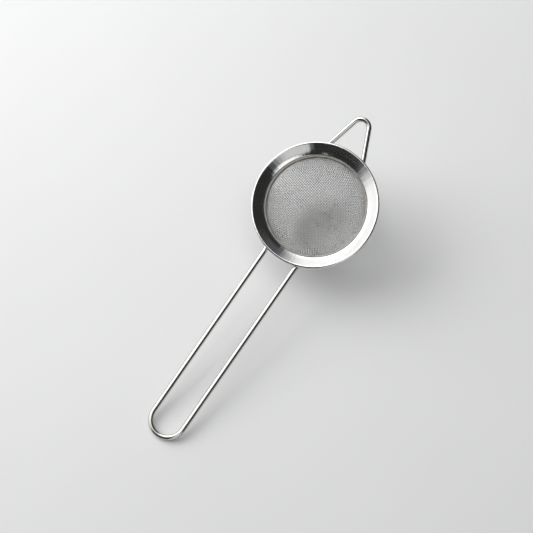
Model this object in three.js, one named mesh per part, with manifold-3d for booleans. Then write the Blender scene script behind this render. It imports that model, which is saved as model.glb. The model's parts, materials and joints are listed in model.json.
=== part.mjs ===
// A tea strainer: a bowl of woven wire cloth clamped into a flared sheet collar, with a looped
// wire handle on one side and a wire cup hook on the other, both welded under the collar's rim.
// Lengths are millimetres and angles are radians. The strainer is drawn about its own axis, with
// z = 0 on top of the rim, the hook towards +X and the handle towards -X. The last lines tip it
// onto the table, where it rests on its bowl and on the far end of its handle.
import * as THREE from 'three';
import { mergeVertices } from 'three/addons/utils/BufferGeometryUtils.js';
import loadManifold from 'manifold-3d';

// Collar: one pressed sheet with a rolled bead, a flared cone and a short neck.
const RIM_RADIUS = 36.5;
const BEAD_RADIUS = 0.8;
const SHEET = 0.5;
const NECK_RADIUS = 29.6;
const CONE_DEPTH = 4.8;
const NECK_DEPTH = 7.6;

// Space left between pieces that touch on the real strainer.
const GAP = 0.3;

// Bowl: wire cloth, drawn as a closed shell of its own thickness, hanging below a straight skirt.
const CLOTH = 0.35;
const SKIRT_TOP = 5.1;
const SKIRT_DEPTH = 7;
const BOWL_DEPTH = 34;
const REST_FLAT_DEPTH = 0.08;

// Clamp ring: an L-shaped band that holds the cloth's edge against the neck.
const RING_SHEET = 0.35;
const RING_TOP = 4.35;
const RING_DEPTH = 7.4;
const RING_FLANGE = 1;

// Handle and hook: round wire, looped at the far end, with feet that follow the rim underneath.
const WIRE_RADIUS = 1.5;
const FOOT_RADIUS = 34.3;
const FOOT_DEPTH = 4.1;
const FOOT_BEND = 5;
const LEG_DEPTH = 3.4;
const LEG_START = 35;
const HANDLE = { tip: 144, loop: 9.8, taper: 0.0026, slope: 0.13, foot: 9 };
const HOOK = { tip: 50.6, loop: 5, taper: 0.346, slope: 0.1, foot: 7 };
const HOOK_SKEW = 0.045;

// Welds: a bead of fused metal at the end of each foot.
const WELD = { along: 1.2, across: 1.45, tall: 1.35 };

// Fineness of the round shapes.
const ROUND = 64;
const BOWL_RINGS = 12;
const WIRE_SIDES = 10;
const LOOP_STEPS = 14;
const BEND_STEPS = 5;
const FOOT_STEPS = 3;

const wasm = await loadManifold();
wasm.setup();

function steel(name, color, roughness) {
  const material = new THREE.MeshStandardMaterial({ color, roughness, metalness: 1 });
  material.name = name;
  return material;
}

function namedMesh(name, geometry, material) {
  const mesh = new THREE.Mesh(geometry, material);
  mesh.name = name;
  return mesh;
}

function polar(radius, angle) {
  return new THREE.Vector2(radius * Math.cos(angle), radius * Math.sin(angle));
}

// Points along a circle's arc in the plane, both ends included.
function arc(centre, radius, from, to, steps) {
  return Array.from({ length: steps + 1 }, (_, i) =>
    polar(radius, THREE.MathUtils.lerp(from, to, i / steps)).add(centre));
}

// Turns an outline of (radius, height) points about the strainer's axis.
function turned(outline) {
  return new THREE.LatheGeometry(outline, ROUND).rotateX(Math.PI / 2);
}

// A lathed or swept body as a solid that can be cut, without its collapsed triangles.
function solidOf(geometry) {
  const bare = geometry.clone();
  bare.deleteAttribute('normal');
  bare.deleteAttribute('uv');
  const { attributes, index } = mergeVertices(bare, 1e-4);
  const corners = [];
  for (let i = 0; i < index.count; i += 3) {
    const [a, b, c] = [index.getX(i), index.getX(i + 1), index.getX(i + 2)];
    if (a !== b && b !== c && c !== a) corners.push(a, b, c);
  }
  const vertProperties = new Float32Array(attributes.position.array);
  const triVerts = new Uint32Array(corners);
  return new wasm.Manifold(new wasm.Mesh({ numProp: 3, vertProperties, triVerts }));
}

function geometryOf(solid) {
  const { vertProperties, triVerts } = solid.getMesh();
  const geometry = new THREE.BufferGeometry();
  geometry.setAttribute('position', new THREE.BufferAttribute(vertProperties, 3));
  geometry.setIndex(new THREE.BufferAttribute(triVerts, 1));
  geometry.computeVertexNormals();
  return geometry;
}

// The cone's upper face runs from the neck's mouth and meets the bead as a tangent.
function rimCollar() {
  const mouth = new THREE.Vector2(NECK_RADIUS, -CONE_DEPTH);
  const bead = new THREE.Vector2(RIM_RADIUS - BEAD_RADIUS, -BEAD_RADIUS);
  const span = bead.clone().sub(mouth);
  const slope = span.angle() + Math.asin(BEAD_RADIUS / span.length());
  const upwards = slope + Math.PI / 2;
  const under = mouth.clone().sub(polar(SHEET, upwards));
  const outerNeck = NECK_RADIUS + SHEET;
  const kneeHeight = under.y + (outerNeck - under.x) * Math.tan(slope);
  const touch = Math.sqrt(BEAD_RADIUS ** 2 - (BEAD_RADIUS - SHEET) ** 2);
  const joint = bead.clone().add(polar(BEAD_RADIUS - SHEET, upwards)).sub(polar(touch, slope));
  const jointAngle = joint.clone().sub(bead).angle() - 2 * Math.PI;
  return turned([
    new THREE.Vector2(NECK_RADIUS, -NECK_DEPTH),
    new THREE.Vector2(outerNeck, -NECK_DEPTH),
    new THREE.Vector2(outerNeck, kneeHeight),
    ...arc(bead, BEAD_RADIUS, jointAngle, upwards, 12),
    mouth,
    new THREE.Vector2(NECK_RADIUS, -NECK_DEPTH),
  ]);
}

// The cloth's outer or inner face: half an ellipse below a straight skirt.
function bowlFace(inset) {
  const radius = NECK_RADIUS - GAP - inset;
  const depth = BOWL_DEPTH - SKIRT_DEPTH - inset;
  const face = Array.from({ length: BOWL_RINGS + 1 }, (_, i) => {
    const angle = (i / BOWL_RINGS) * (Math.PI / 2);
    return new THREE.Vector2(radius * Math.sin(angle), -SKIRT_DEPTH - depth * Math.cos(angle));
  });
  face[0].x = 0;
  return [...face, new THREE.Vector2(radius, -SKIRT_TOP)];
}

function meshBowl() {
  return turned([...bowlFace(0), ...bowlFace(CLOTH).reverse()]);
}

function meshClampRing() {
  const outer = NECK_RADIUS - 2 * GAP - CLOTH;
  const inner = outer - RING_SHEET;
  const flange = inner + RING_FLANGE;
  return turned([
    new THREE.Vector2(inner, -RING_DEPTH),
    new THREE.Vector2(outer, -RING_DEPTH),
    new THREE.Vector2(outer, -RING_TOP - RING_SHEET),
    new THREE.Vector2(flange, -RING_TOP - RING_SHEET),
    new THREE.Vector2(flange, -RING_TOP),
    new THREE.Vector2(inner + RING_SHEET / 2, -RING_TOP),
    new THREE.Vector2(inner, -RING_TOP - RING_SHEET / 2),
    new THREE.Vector2(inner, -RING_DEPTH),
  ]);
}

// A wire's centre line, with one cross-section at each of its stations.
class WireRoute extends THREE.Curve {
  constructor(stations) {
    super();
    this.stations = stations;
  }

  getPoint(t, target = new THREE.Vector3()) {
    const place = THREE.MathUtils.clamp(t, 0, 1) * (this.stations.length - 1);
    const before = Math.min(Math.floor(place), this.stations.length - 2);
    return target.lerpVectors(this.stations[before], this.stations[before + 1], place - before);
  }

  getPointAt(u, target) {
    return this.getPoint(u, target);
  }

  getTangentAt(u, target) {
    return this.getTangent(u, target);
  }
}

// Half of an arm that reaches along +X: the quarter of its end loop on the +Y side, the straight
// leg, the bend that turns the leg outwards, and the foot that follows the rim.
function halfArm({ tip, loop, taper, foot }) {
  const loopCentre = new THREE.Vector2(tip, 0);
  const side = polar(1, Math.PI / 2 - taper);
  const inwards = polar(1, Math.PI - taper);
  const offset = loopCentre.clone().addScaledVector(side, loop + FOOT_BEND);
  const along = offset.dot(inwards);
  const reach = FOOT_RADIUS + FOOT_BEND;
  const travel = -along - Math.sqrt(along ** 2 - offset.lengthSq() + reach ** 2);
  const bendCentre = offset.addScaledVector(inwards, travel);
  const bendEnd = bendCentre.angle() + Math.PI;
  const bendStart = side.angle() + Math.PI;
  const footStart = bendCentre.angle();
  return {
    loop: arc(loopCentre, loop, 0, side.angle(), LOOP_STEPS / 2),
    bend: arc(bendCentre, FOOT_BEND, bendStart, bendEnd, BEND_STEPS),
    foot: arc(new THREE.Vector2(), FOOT_RADIUS, footStart, footStart + foot / FOOT_RADIUS, FOOT_STEPS),
  };
}

// The whole arm's stations. The legs rise away from the rim, and the bends drop to the feet.
function armStations(arm) {
  const { loop, bend, foot } = halfArm(arm);
  const legHeight = (point) => (point.x - LEG_START) * arm.slope - LEG_DEPTH;
  const raised = (point, height) => new THREE.Vector3(point.x, point.y, height);
  const half = [
    ...loop.map((point) => raised(point, legHeight(point))),
    ...bend.map((point, i) => {
      const drop = THREE.MathUtils.smoothstep(i, 0, BEND_STEPS);
      return raised(point, THREE.MathUtils.lerp(legHeight(point), -FOOT_DEPTH, drop));
    }),
    ...foot.slice(1).map((point) => raised(point, -FOOT_DEPTH)),
  ];
  const otherHalf = half.slice(1).map((point) => new THREE.Vector3(point.x, -point.y, point.z));
  return [...otherHalf.reverse(), ...half];
}

function wire(stations) {
  const section = new THREE.Shape(Array.from({ length: WIRE_SIDES }, (_, i) =>
    polar(WIRE_RADIUS, ((i + 0.5) / WIRE_SIDES) * 2 * Math.PI)));
  const extrudePath = new WireRoute(stations);
  return new THREE.ExtrudeGeometry(section, { steps: stations.length - 1, extrudePath });
}

// A flattened ball of fused metal just past the end of a foot, lying along the rim.
function weldBead(stations) {
  const [end, before] = stations.slice(-2).reverse();
  const direction = end.clone().sub(before).normalize();
  const centre = end.clone().addScaledVector(direction, WELD.along + GAP);
  return new THREE.SphereGeometry(1, 14, 10)
    .scale(WELD.along, WELD.across, WELD.tall)
    .rotateZ(Math.atan2(direction.y, direction.x))
    .translate(centre.x, centre.y, centre.z);
}

// One arm with its two welds, turned about the strainer's axis to where it belongs.
function arm(name, shape, turn, material, weldMaterial) {
  const stations = armStations(shape);
  const ends = { left: stations, right: [...stations].reverse() };
  const group = new THREE.Group();
  group.add(namedMesh(`${name}_wire`, wire(stations), material));
  for (const [side, route] of Object.entries(ends)) {
    group.add(namedMesh(`${name}_weld_${side}`, weldBead(route), weldMaterial));
  }
  group.rotation.z = turn;
  return group;
}

const satinSteel = steel('satin stainless steel', 0xb9b8b4, 0.28);
const ringSteel = steel('dull stainless steel', 0x9b968e, 0.42);
const clothSteel = steel('stainless wire cloth', 0xb4b4b2, 0.35);
const polishedWire = steel('polished stainless wire', 0xcfcdc8, 0.14);
const weldSteel = steel('fused stainless steel', 0x8f867a, 0.45);

const strainer = new THREE.Group();
const bowl = namedMesh('mesh_bowl', meshBowl(), clothSteel);
const handle = arm('handle', HANDLE, Math.PI, polishedWire, weldSteel);
const hook = arm('hook', HOOK, HOOK_SKEW, polishedWire, weldSteel);
strainer.add(namedMesh('rim_collar', rimCollar(), satinSteel));
strainer.add(namedMesh('mesh_clamp_ring', meshClampRing(), ringSteel));
strainer.add(bowl, handle, hook);

// How low a piece reaches when the strainer is tipped towards its handle.
function lowest(piece, tilt) {
  strainer.rotation.y = -tilt;
  strainer.updateMatrixWorld(true);
  return new THREE.Box3().setFromObject(piece, true).min.z;
}

// The tilt at which the bowl's small flat and the handle's end stand on one level.
function restingTilt() {
  let [level, steep] = [0, Math.PI / 6];
  for (let round = 0; round < 40; round += 1) {
    const tilt = (level + steep) / 2;
    if (lowest(handle, tilt) > lowest(bowl, tilt) + REST_FLAT_DEPTH) level = tilt;
    else steep = tilt;
  }
  return steep;
}

// Pares the cloth where the bowl stands, which leaves a small flat there.
function pareRestFlat(tilt) {
  const table = lowest(bowl, tilt) + REST_FLAT_DEPTH;
  const side = 4 * RIM_RADIUS;
  const below = new THREE.BoxGeometry(side, side, side)
    .translate(0, 0, table - side / 2)
    .applyMatrix4(bowl.matrixWorld.clone().invert());
  bowl.geometry = geometryOf(solidOf(bowl.geometry).subtract(solidOf(below)));
}

const tilt = restingTilt();
pareRestFlat(tilt);
strainer.rotation.y = -tilt;
strainer.updateMatrixWorld(true);
const box = new THREE.Box3().setFromObject(strainer, true);
const middle = box.getCenter(new THREE.Vector3());
strainer.position.set(-middle.x, -middle.y, -box.min.z);
strainer.name = 'tea_strainer';

export default strainer;
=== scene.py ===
"""A stainless tea strainer: a bowl of woven wire cloth in a flared collar, a looped wire handle and a
wire cup hook, lying on a pale table. Shapes are drawn in millimetres about the strainer's own axis,
with z = 0 on top of the rim and +X towards the hook, and are then placed in the frame in metres."""

import json
import math

import bpy
import numpy as np
from mathutils import Matrix, Vector


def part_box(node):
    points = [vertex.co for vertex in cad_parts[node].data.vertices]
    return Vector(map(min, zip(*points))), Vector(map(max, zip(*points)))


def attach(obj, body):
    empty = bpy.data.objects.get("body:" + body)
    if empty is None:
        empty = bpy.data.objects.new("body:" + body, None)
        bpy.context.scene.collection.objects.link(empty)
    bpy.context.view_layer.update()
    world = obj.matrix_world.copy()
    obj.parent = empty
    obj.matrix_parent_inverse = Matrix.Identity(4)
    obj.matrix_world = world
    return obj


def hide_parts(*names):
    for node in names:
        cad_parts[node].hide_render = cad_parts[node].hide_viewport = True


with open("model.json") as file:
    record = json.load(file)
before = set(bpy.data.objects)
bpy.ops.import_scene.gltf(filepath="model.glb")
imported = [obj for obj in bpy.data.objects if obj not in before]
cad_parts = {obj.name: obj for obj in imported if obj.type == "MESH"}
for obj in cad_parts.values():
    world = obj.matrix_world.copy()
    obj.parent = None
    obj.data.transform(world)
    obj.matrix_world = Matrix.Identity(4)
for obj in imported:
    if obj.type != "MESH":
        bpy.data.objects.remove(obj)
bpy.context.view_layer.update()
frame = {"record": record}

MM = 0.001
ROOT = "root"
FULL_TURN = 2 * math.pi
QUARTER_TURN = math.pi / 2

# ------------------------------------------------ driving dimensions, in millimetres and radians
CAD_BEAD_RADIUS = 0.8
BEAD_RADIUS = 0.92
SHEET = 0.5
NECK_RADIUS = 29.3
CONE_SLOPE = math.radians(38.2)
CONE_EASING = math.radians(1.5)
DISH_EASING = math.radians(13)
DISH_SHARE = 0.5
CONE_END = 0.3
CONE_CLEARANCE = 0.02
NECK_BOTTOM = -7.6
KNEE_RADIUS = 0.6
CURL_TURN = 1.5 * math.pi

RING_INNER = 28.3
RING_SHEET = 0.32
RING_TOP = -4.55
RING_BOTTOM = -7.4
RING_FLANGE = 29.25
RING_BEND = 0.3

CLOTH_RADIUS = 28.96
CLOTH_SKIRT = -7.0
CLOTH_BOTTOM = -33.55
CLOTH_TOP = -5.4
CLOTH_PITCH = 1.21
CLOTH_WIRE = 0.18
CLOTH_CRIMP = 1.09 * CLOTH_WIRE
CLOTH_TURN = math.radians(-12)
CLOTH_SPARE = 1.25
SKIRT_REACH = 12

WIRE_RADIUS = 1.5
END_ROUNDING = 0.5
FOOT_RADIUS = 34.3
FOOT_LEVEL = -3.52
FOOT_BEND = 6.2
LEG_LEVEL = -3.15
LEG_START = 35.0
# Each arm: its loop's centre and radius, the angle at which a leg spreads towards the rim, the legs'
# rise per millimetre outwards, and the length of a foot.
HANDLE = {"tip": 144.0, "loop": 9.8, "taper": 0.0026, "slope": 0.13, "foot": 9.0}
HOOK = {"tip": 50.6, "loop": 5.0, "taper": 0.346, "slope": 0.1, "foot": 7.0}
HOOK_SKEW = 0.045

WELD_LENGTH = 2.0
WELD_WIDTH = 1.75
WELD_HEIGHT = 1.55
WELD_FLARE = 0.22
WELD_PAST_END = 0.5
WELD_LIFT = 0.1

# ---------------------------------------------------------------- how finely the pieces are divided
COLLAR_STEPS = 320
RING_STEPS = 288
CONE_STEPS = 30
CURL_STEPS = 36
KNEE_STEPS = 8
RING_BEND_STEPS = 6
NECK_STEPS = 3
RING_WALL_STEPS = 4
ARM_STEPS = 28
ARM_SIDES = 28
ARM_END_RINGS = 5
LEG_STEP = 3
WELD_ROWS = 20
WELD_COLUMNS = 32
CLOTH_SIDES = 6
FEWEST_CROSSINGS = 4
MERIDIAN_STEPS = 4000
SKIRT_STEPS = 400
NEWTON_ROUNDS = 8

# ------------------------------------------------ table, camera and lamp, in metres (lens in millimetres)
TABLE_HALF = 3.0

CAMERA_AZIMUTH = math.radians(-55.19)
CAMERA_ELEVATION = math.radians(67.61)
CAMERA_DISTANCE = 0.72779
CAMERA_AIM = Vector((0.01375, 0.0085, 0.0))
CAMERA_LENS = 84.97
CAMERA_SENSOR = 36.0

LAMP_HEADING = 222
LAMP_RISE = math.radians(46)
LAMP_DISTANCE = 0.6
LAMP_AIM = Vector((0.02, 0, 0))
LAMP_SIZE = (0.7, 0.56)
LAMP_POWER = 2.25

# ---------------------------------------------------------------- brightness of the surroundings
ALL_ROUND = {"headings": (-180, 620), "sides": (1, 1)}
# The patches that metal mirrors. Each runs between two headings and two heights, in degrees, and
# fades over the given number of degrees at its sides and at its lower and upper ends.
MIRRORED_PATCHES = [
    {"headings": (165, 283), "sides": (15, 15), "heights": (-20, 48), "ends": (5, 8), "bright": 1.42},
    {"headings": (165, 283), "sides": (15, 15), "heights": (48, 82), "ends": (8, 7), "bright": 1.22},
    {"headings": (59, 97), "sides": (15, 5), "heights": (2, 31), "ends": (3, 5), "bright": 0.8},
    {"headings": (57, 92), "sides": (11, 8), "heights": (34, 66), "ends": (4, 8), "bright": 1.5},
    {"headings": (-10, 110), "sides": (16, 16), "heights": (64, 95), "ends": (6, 1), "bright": 0.25},
    {**ALL_ROUND, "heights": (80, 95), "ends": (4, 1), "bright": 1.2},
    {"headings": (115, 122), "sides": (1.5, 1.5), "heights": (30, 32.5), "ends": (1.5, 1.5), "bright": 1.3},
    {"headings": (284, 316), "sides": (8, 22), "heights": (8, 40), "ends": (6, 8), "bright": 0.09},
]
# The patches that light matt surfaces.
LIGHTING_PATCHES = [
    {**ALL_ROUND, "heights": (62, 95), "ends": (8, 1), "bright": 1.1},
    {"headings": (175, 235), "sides": (10, 10), "heights": (14, 44), "ends": (5, 8), "bright": 4.2},
    {"headings": (-25, 65), "sides": (10, 10), "heights": (15, 75), "ends": (8, 8), "bright": 0.33},
]
MIRRORED_DARK = 0.035
LIGHTING_DARK = 0.0
SEEN_BACKGROUND = 0.55
# The studio's tint by brightness: warm in the dark, a little blue between, and white in the light.
TINT_DARK = (1.0, 0.97, 0.95, 1)
TINT_BETWEEN = (0.88, 0.95, 1.0, 1)
TINT_LIGHT = (1.0, 1.0, 1.0, 1)
TINT_BETWEEN_AT = 0.15
TINT_LIGHT_AT = 0.55

# ------------------------------------------------ where the strainer lies in the frame
mounts = {m["name"]: m for m in frame["record"]["mounts"]}
down = Vector(mounts["cup_seat"]["axis"]).normalized()
TILT = math.asin(down.x)
collar_low, collar_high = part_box("rim_collar")
RIM_RADIUS = (collar_high.y - collar_low.y) / 2 / MM
LEAN = Matrix.Rotation(-TILT, 4, "Y")
LEAN_ARRAY = np.array(LEAN.to_3x3())
AXIS_UP = LEAN @ Vector((0, 0, 1))
# The highest point of the CAD's leaning rim gives the height of the circle its bead is turned about.
bead_plane = Vector((
    (collar_low.x + collar_high.x) / 2,
    (collar_low.y + collar_high.y) / 2,
    collar_high.z - ((RIM_RADIUS - CAD_BEAD_RADIUS) * math.sin(TILT) + CAD_BEAD_RADIUS) * MM,
))
ORIGIN = bead_plane + AXIS_UP * CAD_BEAD_RADIUS * MM


def placed(points):
    """Points in the strainer's own millimetres, as points in the frame in metres."""
    return np.asarray(points, float) @ LEAN_ARRAY.T * MM + np.array(ORIGIN)


# ---------------------------------------------------------------- mesh tools
def new_piece(name, points, faces, material, node):
    """A smooth mesh piece that stands for a CAD node and rides on the strainer."""
    mesh = bpy.data.meshes.new(name)
    mesh.from_pydata(placed(points).tolist(), [], faces)
    mesh.polygons.foreach_set("use_smooth", [True] * len(mesh.polygons))
    mesh.update()
    mesh.materials.append(material)
    piece = bpy.data.objects.new(name, mesh)
    bpy.context.scene.collection.objects.link(piece)
    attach(piece, ROOT)
    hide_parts(node)


def unit_rows(vectors):
    return vectors / np.linalg.norm(vectors, axis=1)[:, None]


def arc(centre, radius, start, end, steps):
    """Points on an arc, both ends included."""
    angles = np.linspace(start, end, steps + 1)
    return np.column_stack([centre[0] + radius * np.cos(angles), centre[1] + radius * np.sin(angles)])


def straight(start, end, steps):
    """Points from start to end, both left out."""
    shares = np.linspace(0, 1, steps + 2)[1:-1, None]
    return np.asarray(start) * (1 - shares) + np.asarray(end) * shares


def fillet(before, corner, after, radius, steps):
    """The arc that rounds a corner between two straight stretches."""
    before, corner, after = (np.asarray(p, float) for p in (before, corner, after))
    back = (before - corner) / np.linalg.norm(before - corner)
    ahead = (after - corner) / np.linalg.norm(after - corner)
    half = math.acos(np.clip(back @ ahead, -1, 1)) / 2
    bisector = (back + ahead) / np.linalg.norm(back + ahead)
    centre = corner + bisector * radius / math.sin(half)
    start_arm = corner + back * radius / math.tan(half) - centre
    end_arm = corner + ahead * radius / math.tan(half) - centre
    start = math.atan2(start_arm[1], start_arm[0])
    turn = (math.atan2(end_arm[1], end_arm[0]) - start + math.pi) % FULL_TURN - math.pi
    return arc(centre, radius, start, start + turn, steps)


def thicken(line, thickness, cap_steps=4):
    """A sheet's closed outline from its centre line, with round edges."""
    line = np.asarray(line)
    along = unit_rows(np.gradient(line, axis=0))
    left = np.column_stack([-along[:, 1], along[:, 0]])
    half = thickness / 2

    def cap(point, from_direction):
        start = math.atan2(from_direction[1], from_direction[0])
        return arc(point, half, start, start - math.pi, 2 * cap_steps)[1:-1]

    return np.concatenate([
        line + left * half,
        cap(line[-1], left[-1]),
        (line - left * half)[::-1],
        cap(line[0], -left[0]),
    ])


def grid_faces(rows, columns, rows_closed, columns_closed):
    """Quads over a grid of points numbered row by row."""
    row = np.arange(rows if rows_closed else rows - 1)
    column = np.arange(columns if columns_closed else columns - 1)
    r, c = np.meshgrid(row, column, indexing="ij")
    r_next = (r + 1) % rows * columns
    c_next = (c + 1) % columns
    quads = np.stack([r * columns + c, r_next + c, r_next + c_next, r * columns + c_next], -1)
    return quads.reshape(-1, 4).tolist()


def lathe(outline, steps):
    """A closed outline of (radius, height) points turned about the axis."""
    outline = np.asarray(outline)
    angles = np.linspace(0, FULL_TURN, steps, endpoint=False)
    ring = len(outline)
    points = np.empty((steps, ring, 3))
    points[:, :, 0] = np.cos(angles)[:, None] * outline[:, 0]
    points[:, :, 1] = np.sin(angles)[:, None] * outline[:, 0]
    points[:, :, 2] = outline[:, 1]
    return points.reshape(-1, 3), grid_faces(steps, ring, True, True)


def rounded_ends(path, along, up, across, radius, rings):
    """More sections past both ends of a path, shrinking so that the wire's cut edges are round."""
    rounding = radius * END_ROUNDING
    turns = np.linspace(0, QUARTER_TURN, rings + 1)[1:]
    reach = np.sin(turns) * rounding
    shrunk = radius - rounding + np.cos(turns) * rounding
    head = [path[0] - along[0] * d for d in reach][::-1]
    tail = [path[-1] + along[-1] * d for d in reach]
    radii = np.concatenate([shrunk[::-1], np.full(len(path), radius), shrunk])
    path = np.concatenate([head, path, tail])
    up = np.concatenate([[up[0]] * rings, up, [up[-1]] * rings])
    across = np.concatenate([[across[0]] * rings, across, [across[-1]] * rings])
    return path, up, across, radii


def tube(path, upwards, radius, sides, end_rings=0):
    """Points and faces of a round tube along a path, its section turned to the given up vectors."""
    along = unit_rows(np.gradient(path, axis=0))
    up = unit_rows(upwards - (upwards * along).sum(1)[:, None] * along)
    across = np.cross(along, up)
    radii = np.full(len(path), radius)
    if end_rings:
        path, up, across, radii = rounded_ends(path, along, up, across, radius, end_rings)
    angles = np.linspace(0, FULL_TURN, sides, endpoint=False)[None, :, None]
    arms = np.cos(angles) * up[:, None, :] + np.sin(angles) * across[:, None, :]
    points = path[:, None, :] + radii[:, None, None] * arms
    count = len(path)
    faces = grid_faces(count, sides, False, True)
    faces.append(list(range(sides)))
    faces.append(list(range((count - 1) * sides, count * sides))[::-1])
    return points.reshape(-1, 3), faces


def turned_about_axis(points, angle):
    turn = np.array(Matrix.Rotation(angle, 3, "Z"))
    return points @ turn.T


# ---------------------------------------------------------------- material tools
def node_material(name, colour, metallic, roughness):
    """A new material, its node tree and its shader."""
    material = bpy.data.materials.new(name)
    material.use_nodes = True
    tree = material.node_tree
    shader = tree.nodes["Principled BSDF"]
    shader.inputs["Base Color"].default_value = (*colour, 1)
    shader.inputs["Metallic"].default_value = metallic
    shader.inputs["Roughness"].default_value = roughness
    return material, tree, shader


def add(tree, kind, **settings):
    node = tree.nodes.new(kind)
    for key, value in settings.items():
        setattr(node, key, value)
    return node


def own_coordinates(tree):
    """The point in the strainer's own frame, in metres."""
    place = add(tree, "ShaderNodeTexCoord")
    turn = add(tree, "ShaderNodeMapping", vector_type="TEXTURE")
    turn.inputs["Location"].default_value = ORIGIN
    turn.inputs["Rotation"].default_value = (0, -TILT, 0)
    tree.links.new(place.outputs["Object"], turn.inputs["Vector"])
    return turn.outputs["Vector"]


def round_coordinates(tree, vector):
    """(radius, angle, height) of a point about the strainer's axis, for marks that run round it."""
    split = add(tree, "ShaderNodeSeparateXYZ")
    tree.links.new(vector, split.inputs["Vector"])
    flat = add(tree, "ShaderNodeVectorMath", operation="MULTIPLY")
    flat.inputs[1].default_value = (1, 1, 0)
    tree.links.new(vector, flat.inputs[0])
    radius = add(tree, "ShaderNodeVectorMath", operation="LENGTH")
    tree.links.new(flat.outputs["Vector"], radius.inputs[0])
    angle = add(tree, "ShaderNodeMath", operation="ARCTAN2")
    tree.links.new(split.outputs["Y"], angle.inputs[0])
    tree.links.new(split.outputs["X"], angle.inputs[1])
    joined = add(tree, "ShaderNodeCombineXYZ")
    tree.links.new(radius.outputs["Value"], joined.inputs["X"])
    tree.links.new(angle.outputs["Value"], joined.inputs["Y"])
    tree.links.new(split.outputs["Z"], joined.inputs["Z"])
    return joined.outputs["Vector"]


def scaled_noise(tree, vector, scale, detail):
    """Noise over a vector, with its own number of cells per unit along each direction."""
    spread = add(tree, "ShaderNodeVectorMath", operation="MULTIPLY")
    tree.links.new(vector, spread.inputs[0])
    spread.inputs[1].default_value = scale
    node = add(tree, "ShaderNodeTexNoise")
    node.inputs["Scale"].default_value = 1.0
    node.inputs["Detail"].default_value = detail
    node.inputs["Roughness"].default_value = 0.55
    tree.links.new(spread.outputs["Vector"], node.inputs["Vector"])
    return node.outputs["Fac"]


def ranged(tree, value, low, high):
    """A noise's middle range, stretched to run from low to high."""
    node = add(tree, "ShaderNodeMapRange")
    node.inputs["From Min"].default_value = 0.3
    node.inputs["From Max"].default_value = 0.7
    node.inputs["To Min"].default_value = low
    node.inputs["To Max"].default_value = high
    tree.links.new(value, node.inputs["Value"])
    return node.outputs["Result"]


def toned(tree, shader, marks, dark, light):
    """The shader's colour, drifting between two tones with the marks."""
    node = add(tree, "ShaderNodeMix", data_type="RGBA")
    tree.links.new(ranged(tree, marks, 0, 1), node.inputs["Factor"])
    node.inputs["A"].default_value = (*dark, 1)
    node.inputs["B"].default_value = (*light, 1)
    tree.links.new(node.outputs["Result"], shader.inputs["Base Color"])


def roughened(tree, shader, marks, smooth, rough):
    """The shader's roughness, drifting between two values with the marks."""
    tree.links.new(ranged(tree, marks, smooth, rough), shader.inputs["Roughness"])


def bumped(tree, shader, height, strength, distance):
    node = add(tree, "ShaderNodeBump")
    node.inputs["Strength"].default_value = strength
    node.inputs["Distance"].default_value = distance
    tree.links.new(height, node.inputs["Height"])
    tree.links.new(node.outputs["Normal"], shader.inputs["Normal"])


def brushed_round(tree, shader, anisotropy):
    """Polishing lines that run round the axis, so that reflections smear across them."""
    place = add(tree, "ShaderNodeTexCoord")
    arm = add(tree, "ShaderNodeVectorMath", operation="SUBTRACT")
    tree.links.new(place.outputs["Object"], arm.inputs[0])
    arm.inputs[1].default_value = ORIGIN
    along = add(tree, "ShaderNodeVectorMath", operation="CROSS_PRODUCT")
    along.inputs[0].default_value = AXIS_UP
    tree.links.new(arm.outputs["Vector"], along.inputs[1])
    tree.links.new(along.outputs["Vector"], shader.inputs["Tangent"])
    shader.inputs["Anisotropic"].default_value = anisotropy
    shader.inputs["Anisotropic Rotation"].default_value = 0.25


# ---------------------------------------------------------------- materials
def satin_sheet():
    """Pressed stainless sheet: fine polishing lines round the rim, with faint smears and handling marks."""
    material, tree, shader = node_material("satin_sheet", (0.66, 0.655, 0.645), 1.0, 0.17)
    own = own_coordinates(tree)
    waves = scaled_noise(tree, round_coordinates(tree, own), (60, 14, 60), 1.0)
    smears = scaled_noise(tree, own, (90, 90, 90), 3.0)
    toned(tree, shader, smears, (0.62, 0.615, 0.605), (0.69, 0.685, 0.675))
    roughened(tree, shader, smears, 0.1, 0.125)
    brushed_round(tree, shader, 0.75)
    bumped(tree, shader, waves, 1.0, 0.00005)
    return material


def dull_band():
    """The clamp ring: thin dull sheet, much darker and browner than the collar, and patchy."""
    material, tree, shader = node_material("dull_band", (0.31, 0.29, 0.26), 1.0, 0.36)
    own = own_coordinates(tree)
    lines = scaled_noise(tree, round_coordinates(tree, own), (6000, 4, 6000), 2.0)
    brown_blotches = scaled_noise(tree, own, (260, 260, 260), 4.0)
    toned(tree, shader, brown_blotches, (0.24, 0.222, 0.2), (0.38, 0.36, 0.33))
    roughened(tree, shader, brown_blotches, 0.3, 0.46)
    bumped(tree, shader, lines, 0.2, 0.00003)
    return material


def cloth_wire():
    """Drawn stainless cloth wire, as woven."""
    material, tree, shader = node_material("cloth_wire", (0.62, 0.62, 0.61), 1.0, 0.3)
    own = own_coordinates(tree)
    patches = scaled_noise(tree, own, (120, 120, 120), 4.0)
    toned(tree, shader, patches, (0.513, 0.513, 0.504), (0.612, 0.612, 0.599))
    roughened(tree, shader, patches, 0.24, 0.36)
    return material


def polished_wire():
    """Bright stainless wire with faint die lines along it."""
    material, tree, shader = node_material("polished_wire", (0.56, 0.543, 0.518), 1.0, 0.08)
    own = own_coordinates(tree)
    lines = scaled_noise(tree, own, (60, 2600, 2600), 2.0)
    marks = scaled_noise(tree, own, (70, 220, 220), 4.0)
    toned(tree, shader, marks, (0.53, 0.514, 0.49), (0.59, 0.572, 0.546))
    roughened(tree, shader, marks, 0.06, 0.13)
    bumped(tree, shader, lines, 0.05, 0.00002)
    return material


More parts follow.
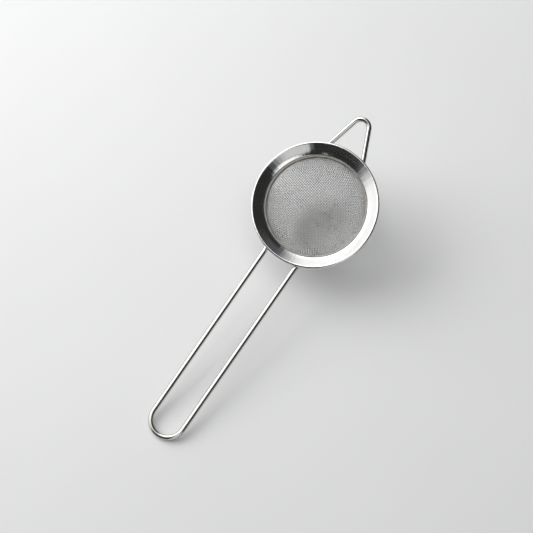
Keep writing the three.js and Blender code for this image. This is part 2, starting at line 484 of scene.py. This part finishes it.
def weld_metal():
    """Fused steel: matt, with a straw and grey heat tint."""
    material, tree, shader = node_material("weld_metal", (0.45, 0.41, 0.36), 1.0, 0.42)
    own = own_coordinates(tree)
    tint = scaled_noise(tree, own, (700, 700, 700), 3.0)
    ripples = scaled_noise(tree, own, (2500, 2500, 2500), 2.0)
    toned(tree, shader, tint, (0.34, 0.31, 0.3), (0.56, 0.5, 0.41))
    roughened(tree, shader, tint, 0.34, 0.5)
    bumped(tree, shader, ripples, 0.3, 0.00005)
    return material


def pale_table():
    """A matt, nearly white table top with a barely visible mottle."""
    material, tree, shader = node_material("pale_table", (0.8, 0.8, 0.8), 0.0, 0.6)
    place = add(tree, "ShaderNodeTexCoord")
    mottle = scaled_noise(tree, place.outputs["Object"], (6, 6, 6), 3.0)
    toned(tree, shader, mottle, (0.79, 0.79, 0.79), (0.81, 0.81, 0.81))
    shader.inputs["Specular IOR Level"].default_value = 0.0
    return material


# ---------------------------------------------------------------- collar and clamp ring
def cone_line(top, inner_radius):
    """The cone's centre line from the bead inwards: it eases a little all the way, and more near the neck."""
    share = np.linspace(0, 1, CONE_STEPS + 1)
    middle = (share[1:] + share[:-1]) / 2
    dish = np.clip((middle - 1 + DISH_SHARE) / DISH_SHARE, 0, None)
    slope = CONE_SLOPE - CONE_EASING * middle - DISH_EASING * dish
    run = (top[0] - inner_radius) / CONE_STEPS
    drop = np.concatenate([[0], np.cumsum(np.tan(slope) * run)])
    return np.column_stack([top[0] - run * np.arange(CONE_STEPS + 1), top[1] - drop])


def collar(material):
    """The rolled bead, the cone and the neck, as one sheet with its raw edge turned in under the cone."""
    curl = BEAD_RADIUS - SHEET / 2
    bead = np.array([RIM_RADIUS - BEAD_RADIUS, -BEAD_RADIUS])
    upwards = CONE_SLOPE + math.pi / 2
    cone_top = bead + curl * np.array([math.cos(upwards), math.sin(upwards)])
    neck_line = NECK_RADIUS + SHEET / 2
    cone = cone_line(cone_top, neck_line + CONE_END)
    last_step = cone[-1] - cone[-2]
    knee = cone[-1] + last_step * (neck_line - cone[-1][0]) / last_step[0]
    neck_end = np.array([neck_line, NECK_BOTTOM + SHEET / 2])
    bend = fillet(cone[-1], knee, neck_end, KNEE_RADIUS, KNEE_STEPS)
    line = np.concatenate([
        arc(bead, curl, upwards - CURL_TURN, upwards, CURL_STEPS),
        cone[1:][cone[1:, 0] > bend[0][0] + CONE_CLEARANCE],
        bend,
        straight(bend[-1], neck_end, NECK_STEPS),
        [neck_end],
    ])
    points, faces = lathe(thicken(line, SHEET), COLLAR_STEPS)
    new_piece("collar_sheet", points, faces, material, "rim_collar")


def clamp_ring(material):
    """An L-shaped band: its wall grips the cloth and its flange reaches out to the collar's knee."""
    wall = RING_INNER + RING_SHEET / 2
    shelf = RING_TOP - RING_SHEET / 2
    corner = (wall, shelf)
    outer = (RING_FLANGE - RING_SHEET / 2, shelf)
    bottom = (wall, RING_BOTTOM + RING_SHEET / 2)
    bend = fillet(bottom, corner, outer, RING_BEND, RING_BEND_STEPS)
    line = np.concatenate([[bottom], straight(bottom, bend[0], RING_WALL_STEPS), bend, [outer]])
    points, faces = lathe(thicken(line, RING_SHEET), RING_STEPS)
    new_piece("clamp_band", points, faces, material, "mesh_clamp_ring")


# ---------------------------------------------------------------- handle, hook and their welds
def half_arm(arm):
    """The loop's quarter, the leg's end bend and the foot, on the +Y side of an arm along +X."""
    loop_centre = np.array([arm["tip"], 0.0])
    side_angle = QUARTER_TURN - arm["taper"]
    side = np.array([math.cos(side_angle), math.sin(side_angle)])
    inwards = np.array([-math.cos(arm["taper"]), math.sin(arm["taper"])])
    offset = loop_centre + side * (arm["loop"] + FOOT_BEND)
    along = offset @ inwards
    reach = FOOT_RADIUS + FOOT_BEND
    travel = -along - math.sqrt(along ** 2 - offset @ offset + reach ** 2)
    bend_centre = offset + inwards * travel
    bearing = math.atan2(bend_centre[1], bend_centre[0])
    loop = arc(loop_centre, arm["loop"], 0, side_angle, ARM_STEPS)
    bend = arc(bend_centre, FOOT_BEND, side_angle + math.pi, bearing + math.pi, ARM_STEPS // 2)
    foot = arc((0, 0), FOOT_RADIUS, bearing, bearing + arm["foot"] / FOOT_RADIUS, ARM_STEPS // 2)
    return loop, bend, foot


def arm_path(arm):
    """The wire's centre line: foot, bend, leg, loop, leg, bend, foot."""
    loop, bend, foot = half_arm(arm)

    def leg_level(points):
        return LEG_LEVEL + (points[:, 0] - LEG_START) * arm["slope"]

    leg_length = np.linalg.norm(loop[-1] - bend[0])
    leg = straight(loop[-1], bend[0], max(2, int(leg_length / LEG_STEP)))
    share = np.linspace(0, 1, len(bend))
    drop = share ** 2 * (3 - 2 * share)
    bend_level = leg_level(bend) * (1 - drop) + FOOT_LEVEL * drop
    half = np.concatenate([
        np.column_stack([loop, leg_level(loop)]),
        np.column_stack([leg, leg_level(leg)]),
        np.column_stack([bend, bend_level]),
        np.column_stack([foot[1:], np.full(len(foot) - 1, FOOT_LEVEL)]),
    ])
    other = half[1:] * np.array([1, -1, 1])
    return np.concatenate([other[::-1], half])


def weld_bead():
    """Points and faces of a puddle of fused metal about its own middle, lumpy and wider on top."""
    bearing, height = np.meshgrid(
        np.linspace(0, FULL_TURN, WELD_COLUMNS, endpoint=False),
        np.linspace(-QUARTER_TURN, QUARTER_TURN, WELD_ROWS + 2)[1:-1],
    )
    broad_lumps = 0.05 * np.sin(3 * bearing + 1.3) * np.cos(height)
    small_lumps = 0.03 * np.sin(5 * bearing) * np.sin(2 * height)
    spread = (1 + broad_lumps + small_lumps) * (1 + WELD_FLARE * np.clip(np.sin(height), 0, 1))
    points = np.stack([
        WELD_LENGTH * np.cos(height) * np.cos(bearing) * spread,
        WELD_WIDTH * np.cos(height) * np.sin(bearing) * spread,
        WELD_HEIGHT * np.sin(height),
    ], -1).reshape(-1, 3)
    points = np.concatenate([points, [[0, 0, -WELD_HEIGHT], [0, 0, WELD_HEIGHT]]])
    low_pole = WELD_ROWS * WELD_COLUMNS
    high_pole = low_pole + 1
    last_row = low_pole - WELD_COLUMNS
    faces = grid_faces(WELD_ROWS, WELD_COLUMNS, False, True)
    for c in range(WELD_COLUMNS):
        c_next = (c + 1) % WELD_COLUMNS
        faces.append([low_pole, c, c_next])
        faces.append([high_pole, last_row + c_next, last_row + c])
    return points, faces


def weld(name, end, before, material, node):
    """A weld bead over the end of a foot, reaching up to just below the cone."""
    along = (end - before) / np.linalg.norm(end - before)
    outwards = np.array([end[0], end[1], 0.0]) / math.hypot(end[0], end[1])
    lift = np.array([0, 0, 1.0]) * math.cos(CONE_SLOPE) - outwards * math.sin(CONE_SLOPE)
    basis = np.stack([along, np.cross(lift, along), lift])
    centre = end + along * WELD_PAST_END + lift * WELD_LIFT
    points, faces = weld_bead()
    new_piece(name, points @ basis + centre, faces, material, node)


def arm_with_welds(side, arm, angle, wire_steel, weld_steel):
    """A bent wire turned about the axis to the given side, and the two welds at its feet."""
    path = turned_about_axis(arm_path(arm), angle)
    up = np.tile([0.0, 0.0, 1.0], (len(path), 1))
    points, faces = tube(path, up, WIRE_RADIUS, ARM_SIDES, ARM_END_RINGS)
    new_piece(f"{side}_bent_wire", points, faces, wire_steel, f"{side}_wire")
    weld(f"{side}_weld_bead_left", path[-1], path[-4], weld_steel, f"{side}_weld_left")
    weld(f"{side}_weld_bead_right", path[0], path[3], weld_steel, f"{side}_weld_right")


# ---------------------------------------------------------------- woven cloth
def cloth_gradient(points):
    """How far points lie off the cloth's middle surface, and the surface's direction there."""
    depth = CLOTH_SKIRT - CLOTH_BOTTOM
    below = np.minimum(points[..., 2] - CLOTH_SKIRT, 0)
    value = (points[..., 0] ** 2 + points[..., 1] ** 2) / CLOTH_RADIUS ** 2 + below ** 2 / depth ** 2 - 1
    slope = np.stack([
        2 * points[..., 0] / CLOTH_RADIUS ** 2,
        2 * points[..., 1] / CLOTH_RADIUS ** 2,
        2 * below / depth ** 2,
    ], -1)
    return value, slope


def on_cloth(points, rounds=4):
    """The points, moved onto the cloth's middle surface."""
    for _ in range(rounds):
        value, slope = cloth_gradient(points)
        points = points - slope * (value / (slope ** 2).sum(-1))[..., None]
    return points


def cloth_meridian(count):
    """Points one pitch apart from the bowl's bottom up one side, on the cloth's middle surface."""
    depth = CLOTH_SKIRT - CLOTH_BOTTOM
    angles = np.linspace(0, QUARTER_TURN, MERIDIAN_STEPS)
    climb = np.linspace(0.01, SKIRT_REACH, SKIRT_STEPS)
    radius = np.concatenate([CLOTH_RADIUS * np.sin(angles), np.full(SKIRT_STEPS, CLOTH_RADIUS)])
    height = np.concatenate([CLOTH_SKIRT - depth * np.cos(angles), CLOTH_SKIRT + climb])
    length = np.concatenate([[0], np.cumsum(np.hypot(np.diff(radius), np.diff(height)))])
    wanted = np.arange(count + 1) * CLOTH_PITCH
    return np.interp(wanted, length, radius), np.interp(wanted, length, height)


def next_crossings(a, b, guess):
    """The points of the cloth one pitch from both a and b, found from a guess by Newton's method."""
    p = guess
    longest_step = 0.5 * CLOTH_PITCH
    for _ in range(NEWTON_ROUNDS):
        value, slope = cloth_gradient(p)
        rows = np.stack([2 * (p - a), 2 * (p - b), slope], 1)
        misses = np.stack([
            ((p - a) ** 2).sum(1) - CLOTH_PITCH ** 2,
            ((p - b) ** 2).sum(1) - CLOTH_PITCH ** 2,
            value,
        ], 1)
        damped = rows + 1e-9 * np.eye(3)
        step = np.linalg.solve(damped, misses[..., None])[..., 0]
        length = np.linalg.norm(step, axis=1)[:, None]
        p = p - step * np.minimum(1, longest_step / np.maximum(length, 1e-12))
    return p


def quarter_net(count):
    """The crossings of one quarter of the cloth. Each cell keeps its four sides, and shears as it must."""
    radius, height = cloth_meridian(count)
    net = np.zeros((count + 1, count + 1, 3))
    net[:, 0] = np.column_stack([radius, np.zeros(count + 1), height])
    net[0, :] = np.column_stack([np.zeros(count + 1), radius, height])
    for total in range(2, 2 * count + 1):
        i = np.arange(max(1, total - count), min(count, total - 1) + 1)
        j = total - i
        a, b = net[i - 1, j], net[i, j - 1]
        net[i, j] = next_crossings(a, b, on_cloth(a + b - net[i - 1, j - 1]))
    return net


def cloth_net():
    """All crossings of the cloth, and which of them lie below its clamped edge."""
    count = int(CLOTH_SPARE * (QUARTER_TURN * CLOTH_RADIUS) / CLOTH_PITCH)
    quarter = quarter_net(count)
    size = 2 * count + 1
    net = np.zeros((size, size, 3))
    for sx in (1, -1):
        for sy in (1, -1):
            rows = count + sx * np.arange(count + 1)
            columns = count + sy * np.arange(count + 1)
            net[np.ix_(rows, columns)] = quarter * np.array([sx, sy, 1])
    good = np.isfinite(net).all(-1) & (net[..., 2] < CLOTH_TOP)
    return net, good


def unbroken_run(held, middle):
    """The first and last crossings that a wire reaches from its middle without a gap."""
    low = high = middle
    while low > 0 and held[low - 1]:
        low -= 1
    while high + 1 < len(held) and held[high + 1]:
        high += 1
    return low, high


def woven_path(knots, over):
    """A wire's centre line through its crossings, on one side of the cloth and the other by turns."""
    padded = np.concatenate([[2 * knots[0] - knots[1]], knots, [2 * knots[-1] - knots[-2]]])
    ahead, behind = padded[2:] - knots, padded[:-2] - knots
    near, far = 0.125, 0.375
    path = np.stack([
        knots + behind * far,
        knots + behind * near,
        knots + ahead * near,
        knots + ahead * far,
    ], 1).reshape(-1, 3)
    path = on_cloth(path, 2)
    _, slope = cloth_gradient(path)
    normal = unit_rows(slope)
    waves = np.cos(math.pi * np.array([far, near, near, far]))
    lift = (over[:, None] * waves * -CLOTH_CRIMP).ravel()
    return path + normal * lift[:, None], normal


def cloth_wires(net, good, phase):
    """Tubes along one direction of the net, passing over and under the others."""
    all_points, all_faces, first = [], [], 0
    middle = net.shape[1] // 2
    for index in range(net.shape[0]):
        if not good[index, middle]:
            continue
        low, high = unbroken_run(good[index], middle)
        knots = net[index, low:high + 1]
        if len(knots) < FEWEST_CROSSINGS:
            continue
        over = (index + low + np.arange(len(knots)) + phase) % 2 * 2 - 1
        path, normal = woven_path(knots, over)
        points, faces = tube(path, normal, CLOTH_WIRE, CLOTH_SIDES)
        all_points.append(points)
        all_faces.extend([[v + first for v in f] for f in faces])
        first += len(points)
    return np.concatenate(all_points), all_faces


def cloth(material):
    """Two sets of wires, each one piece, woven plain and pressed into the bowl."""
    net, good = cloth_net()
    for name, grid, mask, phase in (
        ("cloth_warp_wires", net, good, 0),
        ("cloth_weft_wires", net.transpose(1, 0, 2), good.T, 1),
    ):
        points, faces = cloth_wires(grid, mask, phase)
        points = turned_about_axis(points, CLOTH_TURN)
        new_piece(name, points, faces, material, "mesh_bowl")


# ---------------------------------------------------------------- table, camera and lamp
def floor():
    corners = [
        (-TABLE_HALF, -TABLE_HALF, 0),
        (TABLE_HALF, -TABLE_HALF, 0),
        (TABLE_HALF, TABLE_HALF, 0),
        (-TABLE_HALF, TABLE_HALF, 0),
    ]
    mesh = bpy.data.meshes.new("table_top")
    mesh.from_pydata(corners, [], [(0, 1, 2, 3)])
    mesh.materials.append(pale_table())
    table = bpy.data.objects.new("table_top", mesh)
    bpy.context.scene.collection.objects.link(table)


def facing(name, data, aim, back, distance):
    """A lamp or camera at a distance from its aim, looking back at it."""
    item = bpy.data.objects.new(name, data)
    bpy.context.scene.collection.objects.link(item)
    item.location = aim + back * distance
    item.rotation_mode = "QUATERNION"
    item.rotation_quaternion = (-back).to_track_quat("-Z", "Y")
    return item


def camera():
    data = bpy.data.cameras.new("camera")
    data.lens = CAMERA_LENS
    data.sensor_width = CAMERA_SENSOR
    data.clip_start = 0.01
    back = Vector((
        math.sin(CAMERA_AZIMUTH) * math.cos(CAMERA_ELEVATION),
        -math.cos(CAMERA_AZIMUTH) * math.cos(CAMERA_ELEVATION),
        math.sin(CAMERA_ELEVATION),
    ))
    bpy.context.scene.camera = facing("camera", data, CAMERA_AIM, back, CAMERA_DISTANCE)


def world_angle(heading):
    """The angle in the frame of a level heading, given in degrees clockwise from the camera's right."""
    return CAMERA_AZIMUTH - math.radians(heading)


def softbox():
    data = bpy.data.lights.new("softbox", "AREA")
    data.shape = "RECTANGLE"
    data.size, data.size_y = LAMP_SIZE
    data.energy = LAMP_POWER
    angle = world_angle(LAMP_HEADING)
    back = Vector((
        math.cos(angle) * math.cos(LAMP_RISE),
        math.sin(angle) * math.cos(LAMP_RISE),
        math.sin(LAMP_RISE),
    ))
    lamp = facing("softbox", data, LAMP_AIM, back, LAMP_DISTANCE)
    lamp.visible_camera = False


# ---------------------------------------------------------------- surroundings
def rising(tree, value, middle, softness):
    """0 well below the middle, 1 well above it, with a smooth step between."""
    node = add(tree, "ShaderNodeMapRange", interpolation_type="SMOOTHSTEP")
    node.inputs["From Min"].default_value = middle - softness
    node.inputs["From Max"].default_value = middle + softness
    tree.links.new(value, node.inputs["Value"])
    return node.outputs["Result"]


def product(tree, first, second):
    node = add(tree, "ShaderNodeMath", operation="MULTIPLY")
    tree.links.new(first, node.inputs[0])
    tree.links.new(second, node.inputs[1])
    return node.outputs[0]


def between(tree, value, ends, softness):
    """1 between two angles, 0 outside them, with soft ends. All are in radians."""
    ending = add(tree, "ShaderNodeMath", operation="SUBTRACT")
    ending.inputs[0].default_value = 1
    tree.links.new(rising(tree, value, ends[1], softness[1]), ending.inputs[1])
    return product(tree, rising(tree, value, ends[0], softness[0]), ending.outputs[0])


def patch_share(tree, azimuth, elevation, patch):
    """1 inside a patch of the surroundings, 0 outside it, with soft edges."""
    start, end = patch["headings"]
    half_width = math.radians(end - start) / 2
    offset = add(tree, "ShaderNodeMath", operation="SUBTRACT")
    offset.inputs[0].default_value = world_angle((start + end) / 2)
    tree.links.new(azimuth, offset.inputs[1])
    wrapped = add(tree, "ShaderNodeMath", operation="WRAP")
    tree.links.new(offset.outputs[0], wrapped.inputs[0])
    wrapped.inputs[1].default_value = math.pi
    wrapped.inputs[2].default_value = -math.pi
    sides = [math.radians(a) for a in patch["sides"]]
    heights = [math.radians(a) for a in patch["heights"]]
    ends = [math.radians(a) for a in patch["ends"]]
    sideways = between(tree, wrapped.outputs[0], (-half_width, half_width), sides)
    upwards = between(tree, elevation, heights, ends)
    return product(tree, sideways, upwards)


def patchwork(tree, azimuth, elevation, patches, dark):
    """The brightness of the surroundings: a dim room with soft patches added to it."""
    total = None
    for patch in patches:
        part = add(tree, "ShaderNodeMath", operation="MULTIPLY_ADD")
        tree.links.new(patch_share(tree, azimuth, elevation, patch), part.inputs[0])
        part.inputs[1].default_value = patch["bright"]
        if total is None:
            part.inputs[2].default_value = dark
        else:
            tree.links.new(total, part.inputs[2])
        total = part.outputs[0]
    return total


def picked(tree, choice, otherwise):
    """A number that is the otherwise link unless the choice is 1, and the input to set for that case."""
    node = add(tree, "ShaderNodeMix", data_type="FLOAT")
    tree.links.new(choice, node.inputs["Factor"])
    tree.links.new(otherwise, node.inputs["A"])
    return node.outputs["Result"], node.inputs["B"]


def tinted(tree, brightness):
    """The studio's colour for a brightness."""
    tint = add(tree, "ShaderNodeValToRGB")
    tree.links.new(brightness, tint.inputs["Fac"])
    ramp = tint.color_ramp
    ramp.elements[0].color = TINT_DARK
    ramp.elements[1].color = TINT_LIGHT
    ramp.elements[1].position = TINT_LIGHT_AT
    ramp.elements.new(TINT_BETWEEN_AT).color = TINT_BETWEEN
    return tint.outputs["Color"]


def surroundings():
    """A dim studio with a broad pale side towards the picture's upper left and smaller pale cards
    towards its bottom. Matt surfaces are lit by other patches than the ones the metal mirrors."""
    world = bpy.data.worlds.new("studio")
    bpy.context.scene.world = world
    world.use_nodes = True
    tree = world.node_tree
    place = add(tree, "ShaderNodeTexCoord")
    split = add(tree, "ShaderNodeSeparateXYZ")
    tree.links.new(place.outputs["Generated"], split.inputs[0])
    azimuth = add(tree, "ShaderNodeMath", operation="ARCTAN2")
    tree.links.new(split.outputs["Y"], azimuth.inputs[0])
    tree.links.new(split.outputs["X"], azimuth.inputs[1])
    elevation = add(tree, "ShaderNodeMath", operation="ARCSINE")
    tree.links.new(split.outputs["Z"], elevation.inputs[0])
    angles = (azimuth.outputs[0], elevation.outputs[0])
    mirrored = patchwork(tree, *angles, MIRRORED_PATCHES, MIRRORED_DARK)
    lighting = patchwork(tree, *angles, LIGHTING_PATCHES, LIGHTING_DARK)
    ray = add(tree, "ShaderNodeLightPath")
    lit, for_matt = picked(tree, ray.outputs["Is Diffuse Ray"], mirrored)
    tree.links.new(lighting, for_matt)
    seen, for_camera = picked(tree, ray.outputs["Is Camera Ray"], lit)
    for_camera.default_value = SEEN_BACKGROUND
    background = tree.nodes["Background"]
    tree.links.new(seen, background.inputs["Strength"])
    tree.links.new(tinted(tree, seen), background.inputs["Color"])


# ---------------------------------------------------------------- making it
camera()
floor()
surroundings()
softbox()
bpy.context.scene.view_settings.view_transform = "Standard"
bpy.context.scene.cycles.denoising_prefilter = "NONE"

wire_steel = polished_wire()
weld_steel = weld_metal()
collar(satin_sheet())
clamp_ring(dull_band())
cloth(cloth_wire())
arm_with_welds("handle", HANDLE, math.pi, wire_steel, weld_steel)
arm_with_welds("hook", HOOK, HOOK_SKEW, wire_steel, weld_steel)
